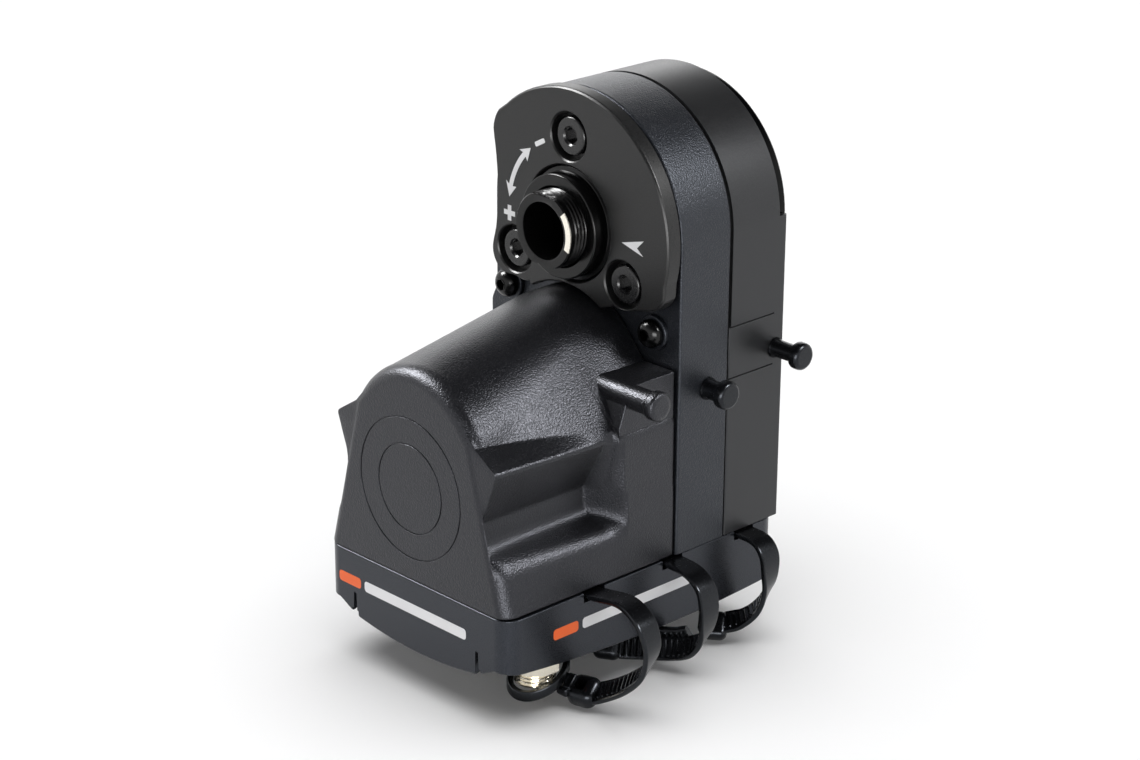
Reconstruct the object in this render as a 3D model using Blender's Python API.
"""Electronic focus motor for a compound telescope, as an assembly of separate solids.

Frame: +Z up, +X to the right seen from the front, -Y to the front. The origin is on the
drive spindle's axis, in the front plane of the mounting plate. Every size below is in
millimetres, and place() turns it into metres.
"""
import bpy
import bmesh
from math import acos, atan2, cos, hypot, pi, radians, sin, sqrt, tan
from mathutils import Vector

MM = 0.001
GAP = 0.3                      # clearance between separate pieces

# ---- driving dimensions ----
BOLT_CIRCLE = 17.05            # radius of the plate's three screws
SEAM_Z = -61.6                 # top of the base, under the spindle axis
FRONT_Y = -39.6                # front of the base and of the motor housing
CASE_Y = 4.1                   # front of the gearbox case
COVER_Y = 17.5                 # front of the rear cover
REAR_Y = 33.0                  # rear of the rear cover, lower part
STEP_Y = 30.8                  # rear of the rear cover, above the spindle's level
STEP_Z = 0.9                   # level of that step
TOWER_R = 26.0                 # round top of the tower, and half its width
BASE_HALF = 25.8               # half width of the base
BASE_CORNER = 3.8
WALL = 2.3
PLATE_THICK = 3.8
PLATE_R = 26.4
SPINDLE_END_Y = -6.5
SPINDLE_R = 7.5
SPINDLE_BORE_R = 5.5
MOTOR_Z = -37.6                # motor axis
FLOOR_TOP_Z = SEAM_Z - 5.0     # floor inside the base
FLOOR_LOW_Z = SEAM_Z - 6.8
JACK_X, JACK_Y = 17.8, -25.1
JACK_R = 3.97                  # 5/16-32 threaded barrel
JACK_SEAT_Z = SEAM_Z - 12.7    # end of the boss that the barrel's nut draws up against
JACK_NUT_THICK = 3.2
GEAR_MODULE = 0.6
GEAR_TEETH = {"output": 60, "idler": 36, "pinion": 14}
GEAR_Y0, GEAR_Y1 = 10.0, 15.0
AXLE_R = 1.5
AXLE_BORE_R = AXLE_R + GAP
CAP_R = 24.3
BOARD_LOW_Z = SEAM_Z - 2.0     # underside of the circuit board
BOARD_THICK = 1.2
TIE_WIDTH, TIE_THICK = 4.8, 1.3

# ---- places shared by several pieces ----
PLATE_SCREWS = [(BOLT_CIRCLE * cos(radians(a)), BOLT_CIRCLE * sin(radians(a))) for a in (90, 210, 330)]
BUTTON_X, BUTTON_Z = 19.7, SEAM_Z + 44.2
REAR_SCREWS = [(x, z) for x in (-20.9, 20.9) for z in (-37.0, -55.5)]
MOTOR_SCREWS = [(-8.0, MOTOR_Z), (8.0, MOTOR_Z)]
BASE_SCREWS = [(-19.5, -34.5), (19.5, -34.5), (-20.0, 26.5), (20.0, 28.0)]
BOARD_SCREWS = [(-19.0, -22.0), (15.5, -12.0), (-19.0, 15.0), (15.5, 15.0)]
USB_BOX = ((0.0, -30.0), (8.4, -22.0))
AUX_BOX = ((-16.5, -32.0), (-4.0, -20.0))
PEG1_Y, PEG1_Z = FRONT_Y + 32.4, SEAM_Z + 35.6      # moulded on the housing
PEG2_Y, PEG2_Z = 11.9, SEAM_Z + 32.5                # on the gearbox case
PEG3_Y, PEG3_Z = 30.6, SEAM_Z + 36.0                # on the rear cover
PEG2_R, PEG3_R = 1.9, 1.7
TIE_Y = (-17.5, 3.4, 23.4)


# ---- helpers ----
def material(name, color, rough, metal):
    mat = bpy.data.materials.new(name)
    mat.use_nodes = True
    shader = mat.node_tree.nodes["Principled BSDF"]
    shader.inputs["Base Color"].default_value = (*color, 1.0)
    shader.inputs["Roughness"].default_value = rough
    shader.inputs["Metallic"].default_value = metal
    return mat


def place(point):
    return Vector(point) * MM


def finish(name, mesh_data, mat, origin=(0, 0, 0)):
    """Turn a bmesh built in millimetres into an object whose origin is at origin."""
    bmesh.ops.recalc_face_normals(mesh_data, faces=mesh_data.faces)
    for vert in mesh_data.verts:
        vert.co = place(vert.co - Vector(origin))
    mesh = bpy.data.meshes.new(name)
    mesh_data.to_mesh(mesh)
    mesh_data.free()
    mesh.shade_smooth()
    mesh.set_sharp_from_angle(angle=radians(32))
    obj = bpy.data.objects.new(name, mesh)
    obj.location = place(origin)
    bpy.context.collection.objects.link(obj)
    if mat is not None:
        mesh.materials.append(mat)
    return obj


def loops_solid(name, loops, mat=None, origin=(0, 0, 0), ring=False):
    """Skin a list of equal loops of points. ring joins the last loop to the first."""
    data = bmesh.new()
    rows = [[data.verts.new(p) for p in loop] for loop in loops]
    count = len(rows[0])
    pairs = list(zip(rows, rows[1:]))
    if ring:
        pairs.append((rows[-1], rows[0]))
    else:
        data.faces.new(rows[0])
        data.faces.new(rows[-1])
    for low, high in pairs:
        for i in range(count):
            j = (i + 1) % count
            data.faces.new((low[i], low[j], high[j], high[i]))
    return finish(name, data, mat, origin)


def prism_y(name, outline, y0, y1, mat=None, origin=(0, 0, 0)):
    """Extrude an outline of (x, z) points from y0 to y1."""
    return loops_solid(name, [[(x, y, z) for x, z in outline] for y in (y0, y1)], mat, origin)


def prism_z(name, outline, z0, z1, mat=None):
    return loops_solid(name, [[(x, y, z) for x, y in outline] for z in (z0, z1)], mat)


def box(name, low, high, mat=None):
    outline = [(low[0], low[1]), (high[0], low[1]), (high[0], high[1]), (low[0], high[1])]
    return prism_z(name, outline, low[2], high[2], mat)


AXES = {"x": (Vector((0, 1, 0)), Vector((0, 0, 1)), Vector((1, 0, 0))),
        "y": (Vector((1, 0, 0)), Vector((0, 0, 1)), Vector((0, 1, 0))),
        "z": (Vector((1, 0, 0)), Vector((0, 1, 0)), Vector((0, 0, 1)))}


def circle(radius, segments, turn=0.0):
    steps = [2 * pi * i / segments + turn for i in range(segments)]
    return [(radius * cos(a), radius * sin(a)) for a in steps]


def turned(name, profile, mat=None, centre=(0, 0, 0), axis="y", segments=32, ring=False,
           turn=0.0, origin=(0, 0, 0)):
    """Loft circles along an axis. profile lists (radius, height); ring closes it to a tube."""
    side, up, along = AXES[axis]
    loops = []
    for radius, height in profile:
        middle = Vector(centre) + along * height
        loops.append([middle + side * a + up * b for a, b in circle(radius, segments, turn)])
    return loops_solid(name, loops, mat, origin, ring)


def turned_disc(name, profile, mat, segments):
    """A solid turned about the Y axis whose profile starts and ends on the axis."""
    data = bmesh.new()
    poles = [data.verts.new((0, profile[i][1], 0)) for i in (0, -1)]
    rows = [[data.verts.new((a, y, b)) for a, b in circle(radius, segments)]
            for radius, y in profile[1:-1]]
    for i in range(segments):
        j = (i + 1) % segments
        data.faces.new((poles[0], rows[0][i], rows[0][j]))
        data.faces.new((poles[1], rows[-1][j], rows[-1][i]))
        for low, high in zip(rows, rows[1:]):
            data.faces.new((low[i], high[i], high[j], low[j]))
    return finish(name, data, mat)


def hide_cutter(cutter):
    cutter.hide_render = True
    cutter.display_type = "WIRE"


def boolean(obj, other, operation="DIFFERENCE"):
    hide_cutter(other)
    step = obj.modifiers.new(operation.lower() + "_" + other.name, "BOOLEAN")
    step.object = other
    step.operation = operation
    step.solver = "EXACT"


def drill(obj, centre, axis, radius, start, end, segments=16):
    """Cut a round hole between two heights along the axis."""
    hole = turned("cut_" + obj.name, [(radius, start), (radius, end)], None, centre, axis, segments)
    boolean(obj, hole)


def tombstone(half, bottom, steps=24, centre_z=0.0):
    """Round top of radius half over straight sides that end at bottom."""
    arc = [pi * i / steps for i in range(steps + 1)]
    top = [(half * cos(a), centre_z + half * sin(a)) for a in arc]
    return top + [(-half, bottom), (half, bottom)]


# ---- base with its skirt ----
def front_edge_z(x):
    """Lower edge of the skirt's front and back: corners, two notches and a convex tongue."""
    side = abs(x)
    if side > 18.3:
        return SEAM_Z - 12.5 + 1.5 * ((side - 18.3) / 7.5) ** 2
    if side > 16.3:
        return SEAM_Z - 8.6
    return SEAM_Z - 13.4 - 1.4 * (1 - (side / 16.3) ** 2)


def side_edge_z(y):
    """Lower edge of the skirt's sides, deepest about two thirds of the way back."""
    along = y - FRONT_Y
    return SEAM_Z - 14.0 + 3.1 * ((along - 46.0) / 46.0) ** 2


def base_outline(inset):
    """The base's plan, with enough points for the shaped lower edge."""
    x1, y0, y1 = BASE_HALF - inset, FRONT_Y + inset, REAR_Y - inset
    radius = BASE_CORNER - inset
    notch = (18.9, 18.0, 16.6, 15.9)
    across = [-notch[0], -notch[1], -notch[2], -notch[3], -8, 0, 8, *notch[::-1]]
    back = [15, 0, -15]
    sides = [-30, -20, -10, 0, 10, 20]
    points = [(x, y0, front_edge_z(x)) for x in across]
    runs = [((x1 - radius, y0 + radius), 270, [(x1, y, side_edge_z(y)) for y in sides]),
            ((x1 - radius, y1 - radius), 0, [(x, y1, side_edge_z(REAR_Y)) for x in back]),
            ((-x1 + radius, y1 - radius), 90, [(-x1, y, side_edge_z(y)) for y in reversed(sides)]),
            ((-x1 + radius, y0 + radius), 180, [])]
    for (cx, cy), start, run in runs:
        for i in range(4):
            a = radians(start + 30 * i)
            x, y = cx + radius * cos(a), cy + radius * sin(a)
            points.append((x, y, side_edge_z(y)))
        points += run
    return points


def base_cover(mat):
    outer, inner = base_outline(0), base_outline(2.0)
    level = [[(x, y, z) for x, y, _ in inner] for z in (FLOOR_LOW_Z, SEAM_Z, FLOOR_TOP_Z)]
    # The lower edge is the same height on both sides of the skirt.
    inner_edge = [(p[0], p[1], q[2]) for p, q in zip(inner, outer)]
    outer_top = [(x, y, SEAM_Z) for x, y, _ in outer]
    base = loops_solid("base_cover", [level[0], inner_edge, outer, outer_top, level[1], level[2]], mat)
    for y in TIE_Y:
        half = TIE_WIDTH / 2 + 1.0
        slot = box("cut_tie", (BASE_HALF - 3, y - half, SEAM_Z - 2.0), (BASE_HALF + 1, y + half, SEAM_Z + 1))
        boolean(base, slot)
    boss = turned("add_jack_boss", [(5.6, JACK_SEAT_Z), (5.6, FLOOR_LOW_Z + 0.6)], None,
                  (JACK_X, JACK_Y, 0), "z", 28)
    boolean(base, boss, "UNION")
    drill(base, (JACK_X, JACK_Y, 0), "z", JACK_R + GAP, JACK_SEAT_Z - 1, FLOOR_TOP_Z + 1)
    for low, high in (USB_BOX, AUX_BOX):
        boolean(base, box("cut_port", (low[0] - GAP, low[1] - GAP, FLOOR_LOW_Z - 1),
                          (high[0] + GAP, high[1] + GAP, FLOOR_TOP_Z + 1)))
    for x, y in BASE_SCREWS:
        drill(base, (x, y, 0), "z", 1.6, FLOOR_LOW_Z - 1, FLOOR_TOP_Z + 1, 12)
    for x, y in BOARD_SCREWS:
        drill(base, (x, y, 0), "z", 1.3, FLOOR_LOW_Z + 0.5, FLOOR_TOP_Z + 1, 12)
    return base


# ---- motor housing ----
SIDE_LEAN = radians(14.4)      # lean of the housing's sides
HOUSING_FOOT = 25.5            # half width of the housing at the seam
FACE_FILLET = 2.9
RIDGE_END_Y = 29.3             # where the finger grips end, behind the front
ARC_STEPS = 9


def arch(depth):
    """Centre height above the seam and radius of the hump, at a depth behind the front."""
    ramp = min(max(depth - 3.4, 0.0), 33.0)
    centre = 23.6 + 0.256 * ramp
    inset = FACE_FILLET * (1 - sqrt(max(0.0, 1 - max(0.0, 1 - depth / 3.2) ** 2)))
    radius = HOUSING_FOOT * cos(SIDE_LEAN) - centre * sin(SIDE_LEAN) - inset
    return centre, radius, inset


def side_x(height, inset):
    return HOUSING_FOOT - height * tan(SIDE_LEAN) - inset / cos(SIDE_LEAN)


def blend(depth, start, end):
    return min(max((depth - start) / (end - start), 0.0), 1.0)


def housing_section(depth):
    """Right half of the housing's outline, from the foot up to the top of the hump."""
    centre, radius, inset = arch(depth)
    flat = 25.7
    grip = blend(depth, 0.4, 1.1)
    closing = blend(depth, 27.0, 30.4)
    upper_closing = blend(depth, 24.9, RIDGE_END_Y)
    foot = side_x(0, inset) + (flat - side_x(0, inset)) * blend(depth, 3.2, 30)
    ledge = side_x(9.5, inset) + (flat - side_x(9.5, inset)) * blend(depth, 3.2, 30.4)
    low_in = 18.5 + (flat - 18.5) * closing
    high_in = 18.5 + (flat - 0.2 - 18.5) * upper_closing
    ridge = 22.2 + (24.4 - 22.2) * blend(depth, 1.1, RIDGE_END_Y)
    top_x = 17.4 + 6.7 * blend(depth, 0, RIDGE_END_Y) ** 1.6
    top_z = 32.0 - 2.3 * blend(depth, 0, RIDGE_END_Y)
    past = blend(depth, RIDGE_END_Y, 31.5)
    points = [(foot, 0.3), (ledge, 9.5)]
    for x, z in ((low_in, 12.3), (high_in, 17.6), (ridge + (flat - 0.2 - ridge) * past, 28.0),
                 (top_x + (flat - 1.2 - top_x) * past, top_z)):
        plain = side_x(z, inset)
        points.append((plain + (x - plain) * grip, z))
    foot_x, foot_z = points[-1]
    reach = hypot(foot_x, foot_z - centre)
    start = atan2(foot_z - centre, foot_x) + acos(min(1.0, radius / reach))
    for i in range(ARC_STEPS + 1):
        a = start + (pi / 2 - start) * i / ARC_STEPS
        points.append((radius * cos(a), centre + radius * sin(a)))
    return [(x, z + SEAM_Z) for x, z in points]


def add_shelf_and_peg(housing):
    """Ledge whose rounded front edge runs out sideways into a mushroom-headed peg."""
    nose_r, back, foot = 2.3, CASE_Y - 0.6, SEAM_Z + 27.0
    turns = [radians(90 + 21 * i) for i in range(8)]
    nose = [(PEG1_Y + nose_r * cos(a), PEG1_Z + nose_r * sin(a)) for a in turns]
    outline = [(back, PEG1_Z + nose_r), *nose, (PEG1_Y + 0.6, foot + 2.0), (PEG1_Y + 2.0, foot), (back, foot)]
    shelf = loops_solid("add_shelf", [[(x, y, z) for y, z in outline] for x in (9.0, 25.2)])
    boolean(housing, shelf, "UNION")
    # The peg is slightly thinner than the nose and turned a little, so no faces coincide.
    peg = turned("add_peg", [(2.2, 21.0), (2.2, 29.9), (2.8, 30.3), (2.8, 31.9), (2.2, 32.5)],
                 None, (0, PEG1_Y, PEG1_Z), "x", 20, turn=0.07)
    boolean(housing, peg, "UNION")


def motor_housing(mat):
    depths = (0, 0.35, 1.1, 2.1, 3.2, 10, 18, 24.9, 27.0, 28.2, 30.4, 31.5, 36.4, 43.4)
    loops = []
    for depth in depths:
        right = housing_section(depth)
        left = [(-x, z) for x, z in reversed(right[:-1])]
        loops.append([(x, FRONT_Y + depth, z) for x, z in right + left])
    housing = loops_solid("motor_housing", loops, mat)
    add_shelf_and_peg(housing)
    cavity = prism_y("cut_cavity", tombstone(15.4, SEAM_Z - 1, 20, MOTOR_Z),
                     FRONT_Y + 2.4, CASE_Y + 1)
    boolean(housing, cavity)
    for x, z in REAR_SCREWS:
        drill(housing, (x, 0, z), "y", 1.6, -6.0, CASE_Y + 1, 12)
    for x, y in BASE_SCREWS[:2]:
        drill(housing, (x, y, 0), "z", 1.6, SEAM_Z - 1, SEAM_Z + 6.5, 12)
    return housing


# ---- tower: gearbox case, rear cover and cap ----
def edged_prism(name, outline_of, y_front, y_back, chamfer, mat):
    """An extrusion whose front and back edges are rounded off by a small chamfer."""
    runs = [(y_front, chamfer), (y_front + chamfer * 0.3, chamfer * 0.3),
            (y_front + chamfer, 0), (y_back, 0)]
    return loops_solid(name, [[(x, y, z) for x, z in outline_of(inset)] for y, inset in runs], mat)


def gearbox_case(mat):
    bottom = SEAM_Z + GAP
    case = edged_prism("gearbox_case", lambda inset: tombstone(TOWER_R - inset, bottom),
                       CASE_Y, COVER_Y - GAP, 0.8, mat)
    for x in (-BUTTON_X, BUTTON_X):
        boss = turned("add_boss", [(3.4, CASE_Y - 1.0), (3.4, CASE_Y + 1)], None, (x, 0, BUTTON_Z), "y",
                      24)
        boolean(case, boss, "UNION")
    cavity = prism_y("cut_gears", tombstone(TOWER_R - WALL, bottom + 6.0, 20),
                     CASE_Y + 2.6, COVER_Y + 1)
    boolean(case, cavity)
    drill(case, (0, 0, 0), "y", 9.8, CASE_Y - 1, CASE_Y + 4, 28)
    drill(case, (0, 0, MOTOR_Z), "y", 4.0, CASE_Y - 1, CASE_Y + 4)
    drill(case, (IDLER_X, 0, IDLER_Z), "y", AXLE_BORE_R, CASE_Y + 1.0, CASE_Y + 4, 12)
    for x, z in PLATE_SCREWS:
        drill(case, (x, 0, z), "y", 2.3, CASE_Y - 1, CASE_Y + 4, 16)
    for x in (-BUTTON_X, BUTTON_X):
        drill(case, (x, 0, BUTTON_Z), "y", 1.8, CASE_Y - 2, CASE_Y + 4, 12)
    for x, z in REAR_SCREWS:
        drill(case, (x, 0, z), "y", 1.8, CASE_Y - 1, COVER_Y + 1, 12)
    for x, z in MOTOR_SCREWS:
        drill(case, (x, 0, z), "y", 1.8, CASE_Y - 1, CASE_Y + 4, 12)
    drill(case, (0, PEG2_Y, PEG2_Z), "x", PEG2_R + GAP, TOWER_R - WALL - 1, TOWER_R + 1, 16)
    return case


def rear_cover(mat):
    bottom = SEAM_Z + GAP
    cover = prism_y("rear_cover", tombstone(TOWER_R, bottom), COVER_Y, REAR_Y, mat)
    cavity = prism_y("cut_cover", tombstone(TOWER_R - WALL, bottom + 6.0, 20), COVER_Y - 1, 28.3)
    boolean(cover, cavity)
    boolean(cover, box("cut_step", (-30, STEP_Y, STEP_Z), (30, REAR_Y + 1, 30)))
    drill(cover, (0, 0, 0), "y", CAP_R + GAP, STEP_Y, REAR_Y + 1, 40)
    drill(cover, (0, 0, 0), "y", 10.0, 27, STEP_Y + 1, 24)
    for x, z in REAR_SCREWS:
        drill(cover, (x, 0, z), "y", 1.8, COVER_Y - 1, REAR_Y + 1, 12)
        drill(cover, (x, 0, z), "y", 3.1, REAR_Y - 2.2, REAR_Y + 1, 16)
    for x, y in BASE_SCREWS[2:]:
        drill(cover, (x, y, 0), "z", 1.6, SEAM_Z - 1, SEAM_Z + 5.5, 12)
    drill(cover, (0, PEG3_Y, PEG3_Z), "x", PEG3_R + GAP, TOWER_R - WALL - 1, TOWER_R + 1, 16)
    return cover


def rear_cap(mat):
    """Shallow cup that closes the back of the tower and pulls straight off."""
    front, back = STEP_Y + GAP, 34.2
    profile = [(0, front + 1.6), (22.6, front + 1.6), (22.6, front), (CAP_R, front),
               (CAP_R, back - 0.8), (CAP_R - 0.8, back), (0, back)]
    return turned_disc("rear_cap", profile, mat, 40)


# ---- mounting plate ----
def arc_points(cx, cz, radius, start, end, steps):
    turns = [radians(start + (end - start) * i / steps) for i in range(steps + 1)]
    return [(cx + radius * cos(a), cz + radius * sin(a)) for a in turns]


def plate_outline(inset=0.0):
    """Clockwise from the left shoulder: round top and right, hump cut-out, left lobe, waist."""
    points = arc_points(0, 0, PLATE_R - inset, 131, -14, 24)
    points += arc_points(20.6, -7.0, 5.2 - inset, -20, -72, 4)
    points += arc_points(14.2, -7.8, 5.9 - inset, -78, -108, 3)
    points += arc_points(-0.6, -29.55, 17.4 + inset, 58, 122, 8)
    points += arc_points(-12.6, -8.9, 5.6 - inset, -70, -110, 3)
    points += arc_points(-16.2, -9.7, 4.7 - inset, -112, -176, 4)
    points += arc_points(-75.6, 2.4, 55.7 + inset, -10, 10, 5)
    points += arc_points(-14.3, 14.0, 6.8 - inset, 176, 140, 3)
    return points


def mounting_plate(mat):
    levels = ((0, 0.5), (0.5, 0), (PLATE_THICK, 0))
    loops = [[(x, y, z) for x, z in plate_outline(inset)] for y, inset in levels]
    plate = loops_solid("mounting_plate", loops, mat)
    drill(plate, (0, 0, 0), "y", 11.8, -1, PLATE_THICK + 1, 36)
    for x, z in PLATE_SCREWS:
        drill(plate, (x, 0, z), "y", 4.75, -1, 2.6, 24)
        drill(plate, (x, 0, z), "y", 2.3, -1, PLATE_THICK + 1, 16)
    return plate


# ---- fasteners ----
def socket_screw(name, mat, centre, axis, sign, head, shank, hex_flat, segments=20):
    """Cap screw along an axis. head and shank are (radius, length); sign is the way it drives."""
    radius, height = head
    shank_r, length = shank
    edge = 0.35
    profile = [(radius - edge, 0), (radius, edge), (radius, height), (shank_r, height),
               (shank_r, height + length)]
    screw = turned(name, [(r, sign * h) for r, h in profile], mat, centre, axis, segments)
    corner = hex_flat / sqrt(3)
    socket = turned("cut_" + name, [(corner, -sign * 1.0), (corner, sign * height * 0.6)], None, centre,
                    axis, 6)
    boolean(screw, socket)
    return screw


def button_screw(name, mat, x, z):
    front = CASE_Y - 1.0 - GAP
    dome = [(0.9, -2.2), (1.9, -1.9), (2.5, -1.2), (2.75, -0.3), (2.75, 0), (1.5, 0), (1.5, 6.5)]
    screw = turned(name, dome, mat, (x, front, z), "y", 16)
    socket = turned("cut_" + name, [(1.15, -3), (1.15, -1.0)], None, (x, front, z), "y", 6)
    boolean(screw, socket)
    return screw


# ---- drive ----
def gear_outline(teeth, turn):
    """Straight-sided teeth on an involute's thickness, with backlash, round (0, 0)."""
    pitch_r = GEAR_MODULE * teeth / 2
    pitch_angle = 2 * pi / teeth
    marks = ((-1.15, 0.375), (0.85, 0.105))
    outline = []
    for tooth in range(teeth):
        middle = turn + tooth * pitch_angle
        left = [(pitch_r + m * GEAR_MODULE, middle - w * pitch_angle) for m, w in marks]
        right = [(r, 2 * middle - a) for r, a in reversed(left)]
        outline += left + right
    return [(r * cos(a), r * sin(a)) for r, a in outline]


def gear(name, teeth, turn, centre, bore, mat):
    cx, cz = centre
    outline = [(cx + x, cz + z) for x, z in gear_outline(teeth, turn)]
    body = prism_y(name, outline, GEAR_Y0, GEAR_Y1, mat, (cx, 0, cz))
    drill(body, (cx, 0, cz), "y", bore, GEAR_Y0 - 1, GEAR_Y1 + 1, 20)
    return body


def gear_train():
    """Idler centre and the three tooth phases that put the gears in mesh at rest."""
    out_n, idle_n, pin_n = GEAR_TEETH["output"], GEAR_TEETH["idler"], GEAR_TEETH["pinion"]
    far = GEAR_MODULE * (out_n + idle_n) / 2
    near = GEAR_MODULE * (idle_n + pin_n) / 2
    drop = (far ** 2 + MOTOR_Z ** 2 - near ** 2) / (2 * -MOTOR_Z)
    idler = (sqrt(far ** 2 - drop ** 2), -drop)
    to_idler = atan2(idler[1], idler[0])
    idler_turn = to_idler + pi + pi / idle_n
    to_pinion = atan2(MOTOR_Z - idler[1], -idler[0])
    offset = (to_pinion - idler_turn) / (2 * pi / idle_n)
    offset -= round(offset)
    # A tooth that sits off the line of centres by some arc meets a gap off by the same arc.
    pinion_turn = to_pinion + pi + pi / pin_n + offset * 2 * pi / pin_n
    return idler, {"output": to_idler, "idler": idler_turn, "pinion": pinion_turn}


def drive_spindle(mat):
    step = 0.9
    profile = [(SPINDLE_R - 0.3, SPINDLE_END_Y), (SPINDLE_R, SPINDLE_END_Y + 0.3)]
    for i in range(3):
        y = SPINDLE_END_Y + 1.3 + i * step
        profile += [(SPINDLE_R, y - 0.25), (SPINDLE_R - 0.5, y), (SPINDLE_R, y + 0.25)]
    profile += [(SPINDLE_R, 8.9), (9.0, 8.9), (9.0, 9.7), (SPINDLE_R, 9.7), (SPINDLE_R, 30.2),
                (SPINDLE_BORE_R, 30.2), (SPINDLE_BORE_R, SPINDLE_END_Y)]
    spindle = turned("drive_spindle", profile, mat, segments=28, ring=True)
    for z in (6.7, -8.7):
        flat = box("cut_flat", (-9, SPINDLE_END_Y - 1, z), (9, SPINDLE_END_Y + 1.4, z + 2))
        boolean(spindle, flat)
    return spindle


def spindle_collar(mat):
    profile = [(SPINDLE_R + GAP, -2.8), (9.8, -2.8), (10.2, -2.4), (10.2, -0.7), (11.4, -0.7),
               (11.4, 3.7), (9.5, 3.7), (9.5, 8.4), (SPINDLE_R + GAP, 8.4)]
    return turned("spindle_collar", profile, mat, segments=28, ring=True)


def rear_bearing(mat):
    profile = [(SPINDLE_R + GAP, 26.4), (12.0, 26.4), (12.0, 28.0), (9.7, 28.0), (9.7, 30.4),
               (SPINDLE_R + GAP, 30.4)]
    return turned("rear_bearing", profile, mat, segments=24, ring=True)


def gear_motor(shell_mat, head_mat, steel_mat, gear_mat):
    axis_point = (0, 0, MOTOR_Z)
    turned("motor_can", [(4.0, -35.0), (4.0, -33.6), (11.0, -33.6), (12.0, -32.6), (12.0, -12.4)],
           shell_mat, axis_point, segments=32)
    head = turned("gearhead", [(11.6, -12.1), (11.6, 1.6), (3.4, 1.6), (3.4, 3.8)],
                  head_mat, axis_point, segments=32)
    drill(head, axis_point, "y", 1.8, -3.0, 5.0, 16)
    for x, z in MOTOR_SCREWS:
        drill(head, (x, 0, z), "y", 1.4, -4, 2, 12)
    turned("motor_shaft", [(AXLE_R, -2.7), (AXLE_R, 16.4)], steel_mat, axis_point, segments=20,
           origin=(0, 0, MOTOR_Z))
    gear("motor_pinion", GEAR_TEETH["pinion"], PHASES["pinion"], (0, MOTOR_Z), AXLE_BORE_R, gear_mat)
    for i, (x, z) in enumerate(MOTOR_SCREWS):
        turned("motor_screw_%d" % (i + 1), [(2.2, 8.6), (2.4, 8.3), (2.4, 7.0), (1.2, 7.0), (1.2, -2.5)],
               steel_mat, (x, 0, z), segments=12)


def idler_set(gear_mat, steel_mat):
    centre = (IDLER_X, 0, IDLER_Z)
    gear("idler_gear", GEAR_TEETH["idler"], PHASES["idler"], (IDLER_X, IDLER_Z), AXLE_BORE_R, gear_mat)
    turned("idler_axle", [(AXLE_R, CASE_Y + 1.3), (AXLE_R, 18.6)], steel_mat, centre, segments=20)
    clip = [(AXLE_BORE_R, 15.4), (3.4, 15.4), (3.4, 16.1), (AXLE_BORE_R, 16.1)]
    turned("idler_clip", clip, steel_mat, centre, segments=20, ring=True)


# ---- electronics ----
def electronics(board_mat, metal_mat, plastic_mat, steel_mat):
    low, high = BOARD_LOW_Z, BOARD_LOW_Z + BOARD_THICK
    board = box("main_board", (-21.5, -32.0, low), (18.5, 23.5, high), board_mat)
    drill(board, (JACK_X, JACK_Y, 0), "z", JACK_R + 0.6, low - 1, high + 1)
    for x, y in BOARD_SCREWS:
        drill(board, (x, y, 0), "z", 1.4, low - 1, high + 1, 12)
    seat = high + GAP
    for i, (x, y) in enumerate(BOARD_SCREWS):
        profile = [(1.0, FLOOR_LOW_Z + 0.9), (1.0, seat), (2.0, seat), (2.0, seat + 0.7)]
        turned("board_screw_%d" % (i + 1), profile, steel_mat, (x, y, 0), "z", 12)
    for name, (lo, hi), mouth in (("usb_socket", USB_BOX, 0.7), ("aux_socket", AUX_BOX, 1.2)):
        socket = box(name, (lo[0], lo[1], FLOOR_LOW_Z - 0.4), (hi[0], hi[1], low - GAP),
                     metal_mat if name == "usb_socket" else plastic_mat)
        inside = box("cut_" + name, (lo[0] + mouth, lo[1] + mouth, FLOOR_LOW_Z - 2),
                     (hi[0] - mouth, hi[1] - mouth, low - GAP - 1.0))
        boolean(socket, inside)
    turned("encoder_board", [(10.5, -36.6), (10.5, -35.4)], board_mat, (0, 0, MOTOR_Z), segments=28)
    path = [(-36.6, MOTOR_Z - 11.2), (-36.6, SEAM_Z + 1.5), (-35.6, SEAM_Z - 0.4), (-33.0, SEAM_Z - 0.6)]
    strip = [(y, z) for y, z in path] + [(y + 0.5, z + 0.4) for y, z in reversed(path)]
    loops_solid("motor_ribbon", [[(x, y, z) for y, z in strip] for x in (-4, 4)], plastic_mat)


def power_jack(nickel_mat, brass_mat, plastic_mat):
    centre = (JACK_X, JACK_Y, 0)
    tip = SEAM_Z - 19.1
    nut_low = JACK_SEAT_Z - GAP - JACK_NUT_THICK
    thread = []
    for i in range(4):
        z = tip + 1.1 + 1.0 * i
        thread += [(JACK_R, z - 0.25), (JACK_R - 0.4, z), (JACK_R, z + 0.25)]
    mouth_r, top = 3.1, SEAM_Z - 2.0
    profile = [(mouth_r, tip), (JACK_R - 0.4, tip), (JACK_R, tip + 0.4), *thread, (JACK_R, top),
               (mouth_r, top)]
    turned("jack_barrel", profile, nickel_mat, centre, "z", 20, ring=True)
    nut = turned("jack_nut", [(5.4, nut_low), (5.4, nut_low + JACK_NUT_THICK)], nickel_mat, centre,
                 "z", 6, turn=radians(12))
    drill(nut, centre, "z", JACK_R + GAP, nut_low - 1, nut_low + JACK_NUT_THICK + 1)
    turned("jack_insert", [(1.5, SEAM_Z - 8), (2.8, SEAM_Z - 8), (2.8, SEAM_Z - 2.4), (1.5, SEAM_Z - 2.4)],
           plastic_mat, centre, "z", 20, ring=True)
    turned("jack_pin", [(0.6, tip + 1.5), (1.05, tip + 2.2), (1.05, SEAM_Z - 2.4)], brass_mat, centre,
           "z", 16)


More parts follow.
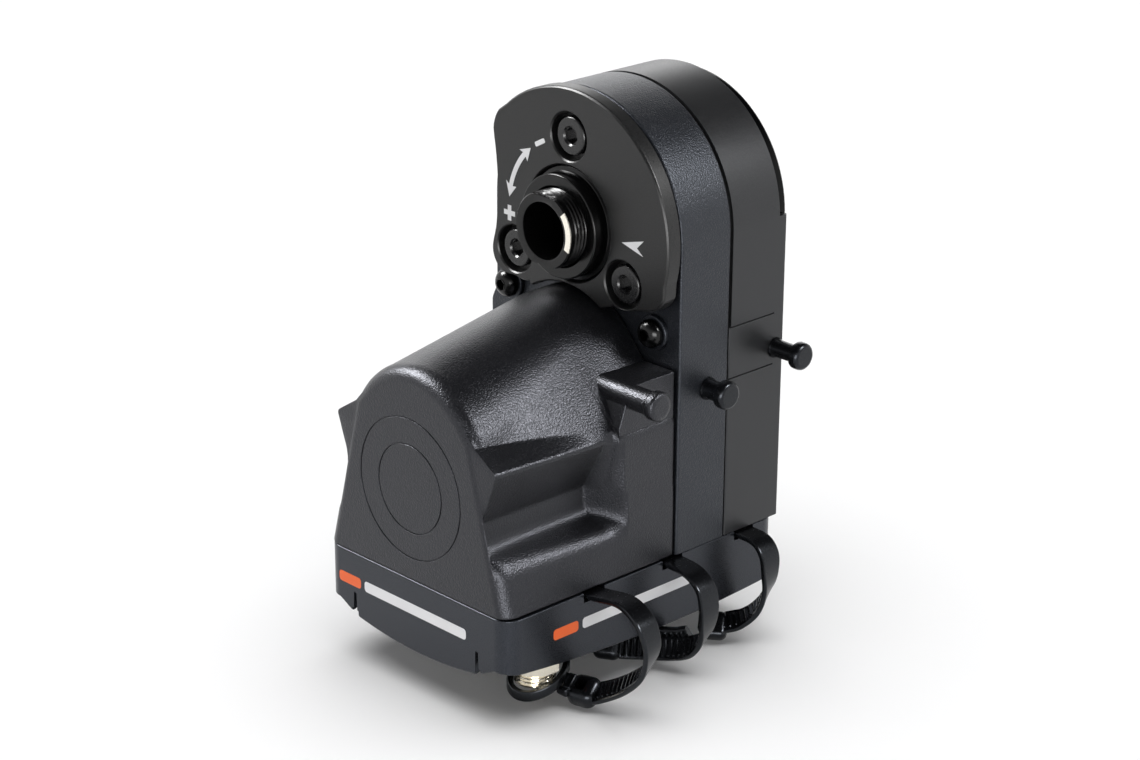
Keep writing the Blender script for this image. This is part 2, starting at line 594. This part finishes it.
# ---- cable ties ----
def smooth_path(points, per_span=2):
    """Catmull-Rom curve through hand-placed points."""
    pts = [Vector(p) for p in points]
    pts = [2 * pts[0] - pts[1], *pts, 2 * pts[-1] - pts[-2]]
    out = []
    for a, b, c, d in zip(pts, pts[1:], pts[2:], pts[3:]):
        for i in range(per_span):
            t = i / per_span
            out.append(0.5 * (2 * b + (c - a) * t + (2 * a - 5 * b + 4 * c - d) * t * t
                              + (3 * b - 3 * c + d - a) * t ** 3))
    return out + [pts[-2]]


def tie_band(name, points, mat):
    """Flat strap along a path; its width lies mostly along Y."""
    path = smooth_path(points)
    loops = []
    for i, p in enumerate(path):
        ahead = path[min(i + 1, len(path) - 1)] - path[max(i - 1, 0)]
        ahead.normalize()
        across = Vector((0, 1, 0)) - ahead * ahead.y
        across.normalize()
        out = ahead.cross(across)
        w, t = across * (TIE_WIDTH / 2), out * (TIE_THICK / 2)
        loops.append([p - w - t, p + w - t, p + w + t, p - w + t])
    return loops_solid(name, loops, mat)


def cable_tie(name, points, head, mat):
    """Releasable tie: strap out of the slot, round in the open, and into its head below."""
    tie = tie_band(name, points, mat)
    hx, hy, hz = head
    block = box("add_head_" + name, (hx - 2.6, hy - 3.4, hz - 2.2), (hx + 2.6, hy + 3.4, hz + 2.2))
    boolean(tie, block, "UNION")
    return tie


TIE_TOP = SEAM_Z - 0.9
TIE_1 = [(19.5, -17.5, TIE_TOP), (26.2, -17.5, TIE_TOP + 0.2), (33.9, -17.5, SEAM_Z + 0.3),
         (38.8, -17.5, SEAM_Z - 1.7), (41.0, -17.5, SEAM_Z - 4.9), (41.4, -17.5, SEAM_Z - 8.0),
         (39.4, -17.7, SEAM_Z - 12.0), (35.2, -18.3, SEAM_Z - 16.0), (30.6, -19.3, SEAM_Z - 18.9),
         (27.5, -20.2, SEAM_Z - 20.2)]
TIE_2 = [(19.5, 3.4, TIE_TOP), (27.2, 3.4, TIE_TOP + 0.1), (31.6, 3.4, SEAM_Z - 1.4),
         (34.6, 3.4, SEAM_Z - 3.5), (35.6, 3.4, SEAM_Z - 6.9), (35.5, 3.4, SEAM_Z - 10.5),
         (34.5, 3.4, SEAM_Z - 14.3), (31.4, 3.0, SEAM_Z - 17.7), (27.2, 1.6, SEAM_Z - 19.8),
         (22.6, -0.6, SEAM_Z - 20.8), (18.4, -3.2, SEAM_Z - 21.0)]
TIE_3 = [(19.5, 23.4, TIE_TOP), (26.4, 23.4, TIE_TOP + 0.1), (30.4, 23.4, SEAM_Z - 1.2),
         (32.6, 23.4, SEAM_Z - 3.4), (33.1, 23.4, SEAM_Z - 6.9), (32.7, 23.4, SEAM_Z - 10.7),
         (30.6, 22.9, SEAM_Z - 15.4), (28.2, 21.2, SEAM_Z - 18.6), (25.4, 19.0, SEAM_Z - 20.2)]


def cable_ties(mat):
    first = cable_tie("cable_tie_1", TIE_1, (27.0, -20.6, SEAM_Z - 20.9), mat)
    ring_z = SEAM_Z - 18.6
    profile = [(r, ring_z + dz) for r, dz in ((4.9, -1.1), (6.3, -1.1), (6.3, 1.1), (4.9, 1.1))]
    ring = turned("add_ring", profile, None, (JACK_X, JACK_Y, 0), "z", 28, ring=True)
    boolean(first, ring, "UNION")
    bridge = box("add_bridge", (JACK_X + 4.6, -24.4, ring_z - 1.0), (25.4, -19.6, ring_z + 0.9))
    boolean(first, bridge, "UNION")
    for name, points, head in (("cable_tie_2", TIE_2, (16.0, -4.6, SEAM_Z - 20.6)),
                               ("cable_tie_3", TIE_3, (24.0, 17.6, SEAM_Z - 20.3))):
        cable_tie(name, points, head, mat)


def cable_peg(name, radius, head_r, end, y, z, mat):
    """Mushroom-headed peg pressed into the tower's right side."""
    root = TOWER_R - WALL + 0.6
    turned(name, [(radius, root), (radius, end - 2.4), (head_r, end - 2.0), (head_r, end - 0.6),
                  (head_r - 0.6, end)], mat, (0, y, z), "x", 20)


(IDLER_X, IDLER_Z), PHASES = gear_train()


def build():
    for old in list(bpy.data.objects):
        bpy.data.objects.remove(old, do_unlink=True)
    grained = (0.030, 0.031, 0.034)
    black = (0.012, 0.012, 0.013)
    steel = material("steel", (0.55, 0.55, 0.56), 0.3, 1.0)
    screw_black = material("black_oxide", (0.02, 0.02, 0.02), 0.35, 0.8)
    brass = material("brass", (0.72, 0.55, 0.28), 0.3, 1.0)
    nylon = material("nylon", black, 0.4, 0.0)
    board = material("board_green", (0.02, 0.12, 0.05), 0.45, 0.0)
    plastic = material("socket_black", (0.015, 0.015, 0.015), 0.5, 0.0)
    nickel = material("nickel", (0.72, 0.69, 0.62), 0.22, 1.0)
    base_cover(material("base_satin", (0.045, 0.050, 0.060), 0.5, 0.0))
    motor_housing(material("housing_grain", grained, 0.55, 0.0))
    gearbox_case(material("case_grain", (0.032, 0.035, 0.045), 0.55, 0.0))
    rear_cover(material("cover_satin", (0.040, 0.040, 0.042), 0.5, 0.0))
    rear_cap(material("cap_gloss", black, 0.15, 0.0))
    mounting_plate(material("plate_satin", (0.02, 0.02, 0.022), 0.45, 0.3))
    for i, (x, z) in enumerate(PLATE_SCREWS):
        socket_screw("plate_screw_%d" % (i + 1), screw_black, (x, 0.5, z), "y", 1, (3.75, 1.8),
                     (2.0, 5.6), 3.0)
    for i, x in enumerate((-BUTTON_X, BUTTON_X)):
        button_screw("button_screw_%d" % (i + 1), screw_black, x, BUTTON_Z)
    drive_spindle(material("spindle_gloss", black, 0.18, 0.6))
    spindle_collar(material("collar_gloss", black, 0.2, 0.5))
    rear_bearing(material("bronze", (0.55, 0.38, 0.2), 0.4, 1.0))
    gear("output_gear", GEAR_TEETH["output"], PHASES["output"], (0, 0), SPINDLE_R + GAP, brass)
    idler_set(brass, steel)
    gear_motor(steel, nickel, steel, brass)
    electronics(board, nickel, plastic, steel)
    power_jack(nickel, brass, plastic)
    cable_peg("cable_peg_1", PEG2_R, 2.8, 32.0, PEG2_Y, PEG2_Z, nylon)
    cable_peg("cable_peg_2", PEG3_R, 2.7, 33.8, PEG3_Y, PEG3_Z, nylon)
    cable_ties(nylon)
    for i, (x, z) in enumerate(REAR_SCREWS):
        socket_screw("rear_screw_%d" % (i + 1), screw_black, (x, REAR_Y - 0.3, z), "y", -1,
                     (2.8, 1.6), (1.3, 34.0), 2.0, 12)
    for i, (x, y) in enumerate(BASE_SCREWS):
        socket_screw("base_screw_%d" % (i + 1), screw_black, (x, y, FLOOR_LOW_Z - GAP - 1.8), "z", 1,
                     (2.5, 1.8), (1.25, 11.5), 2.0, 12)


build()
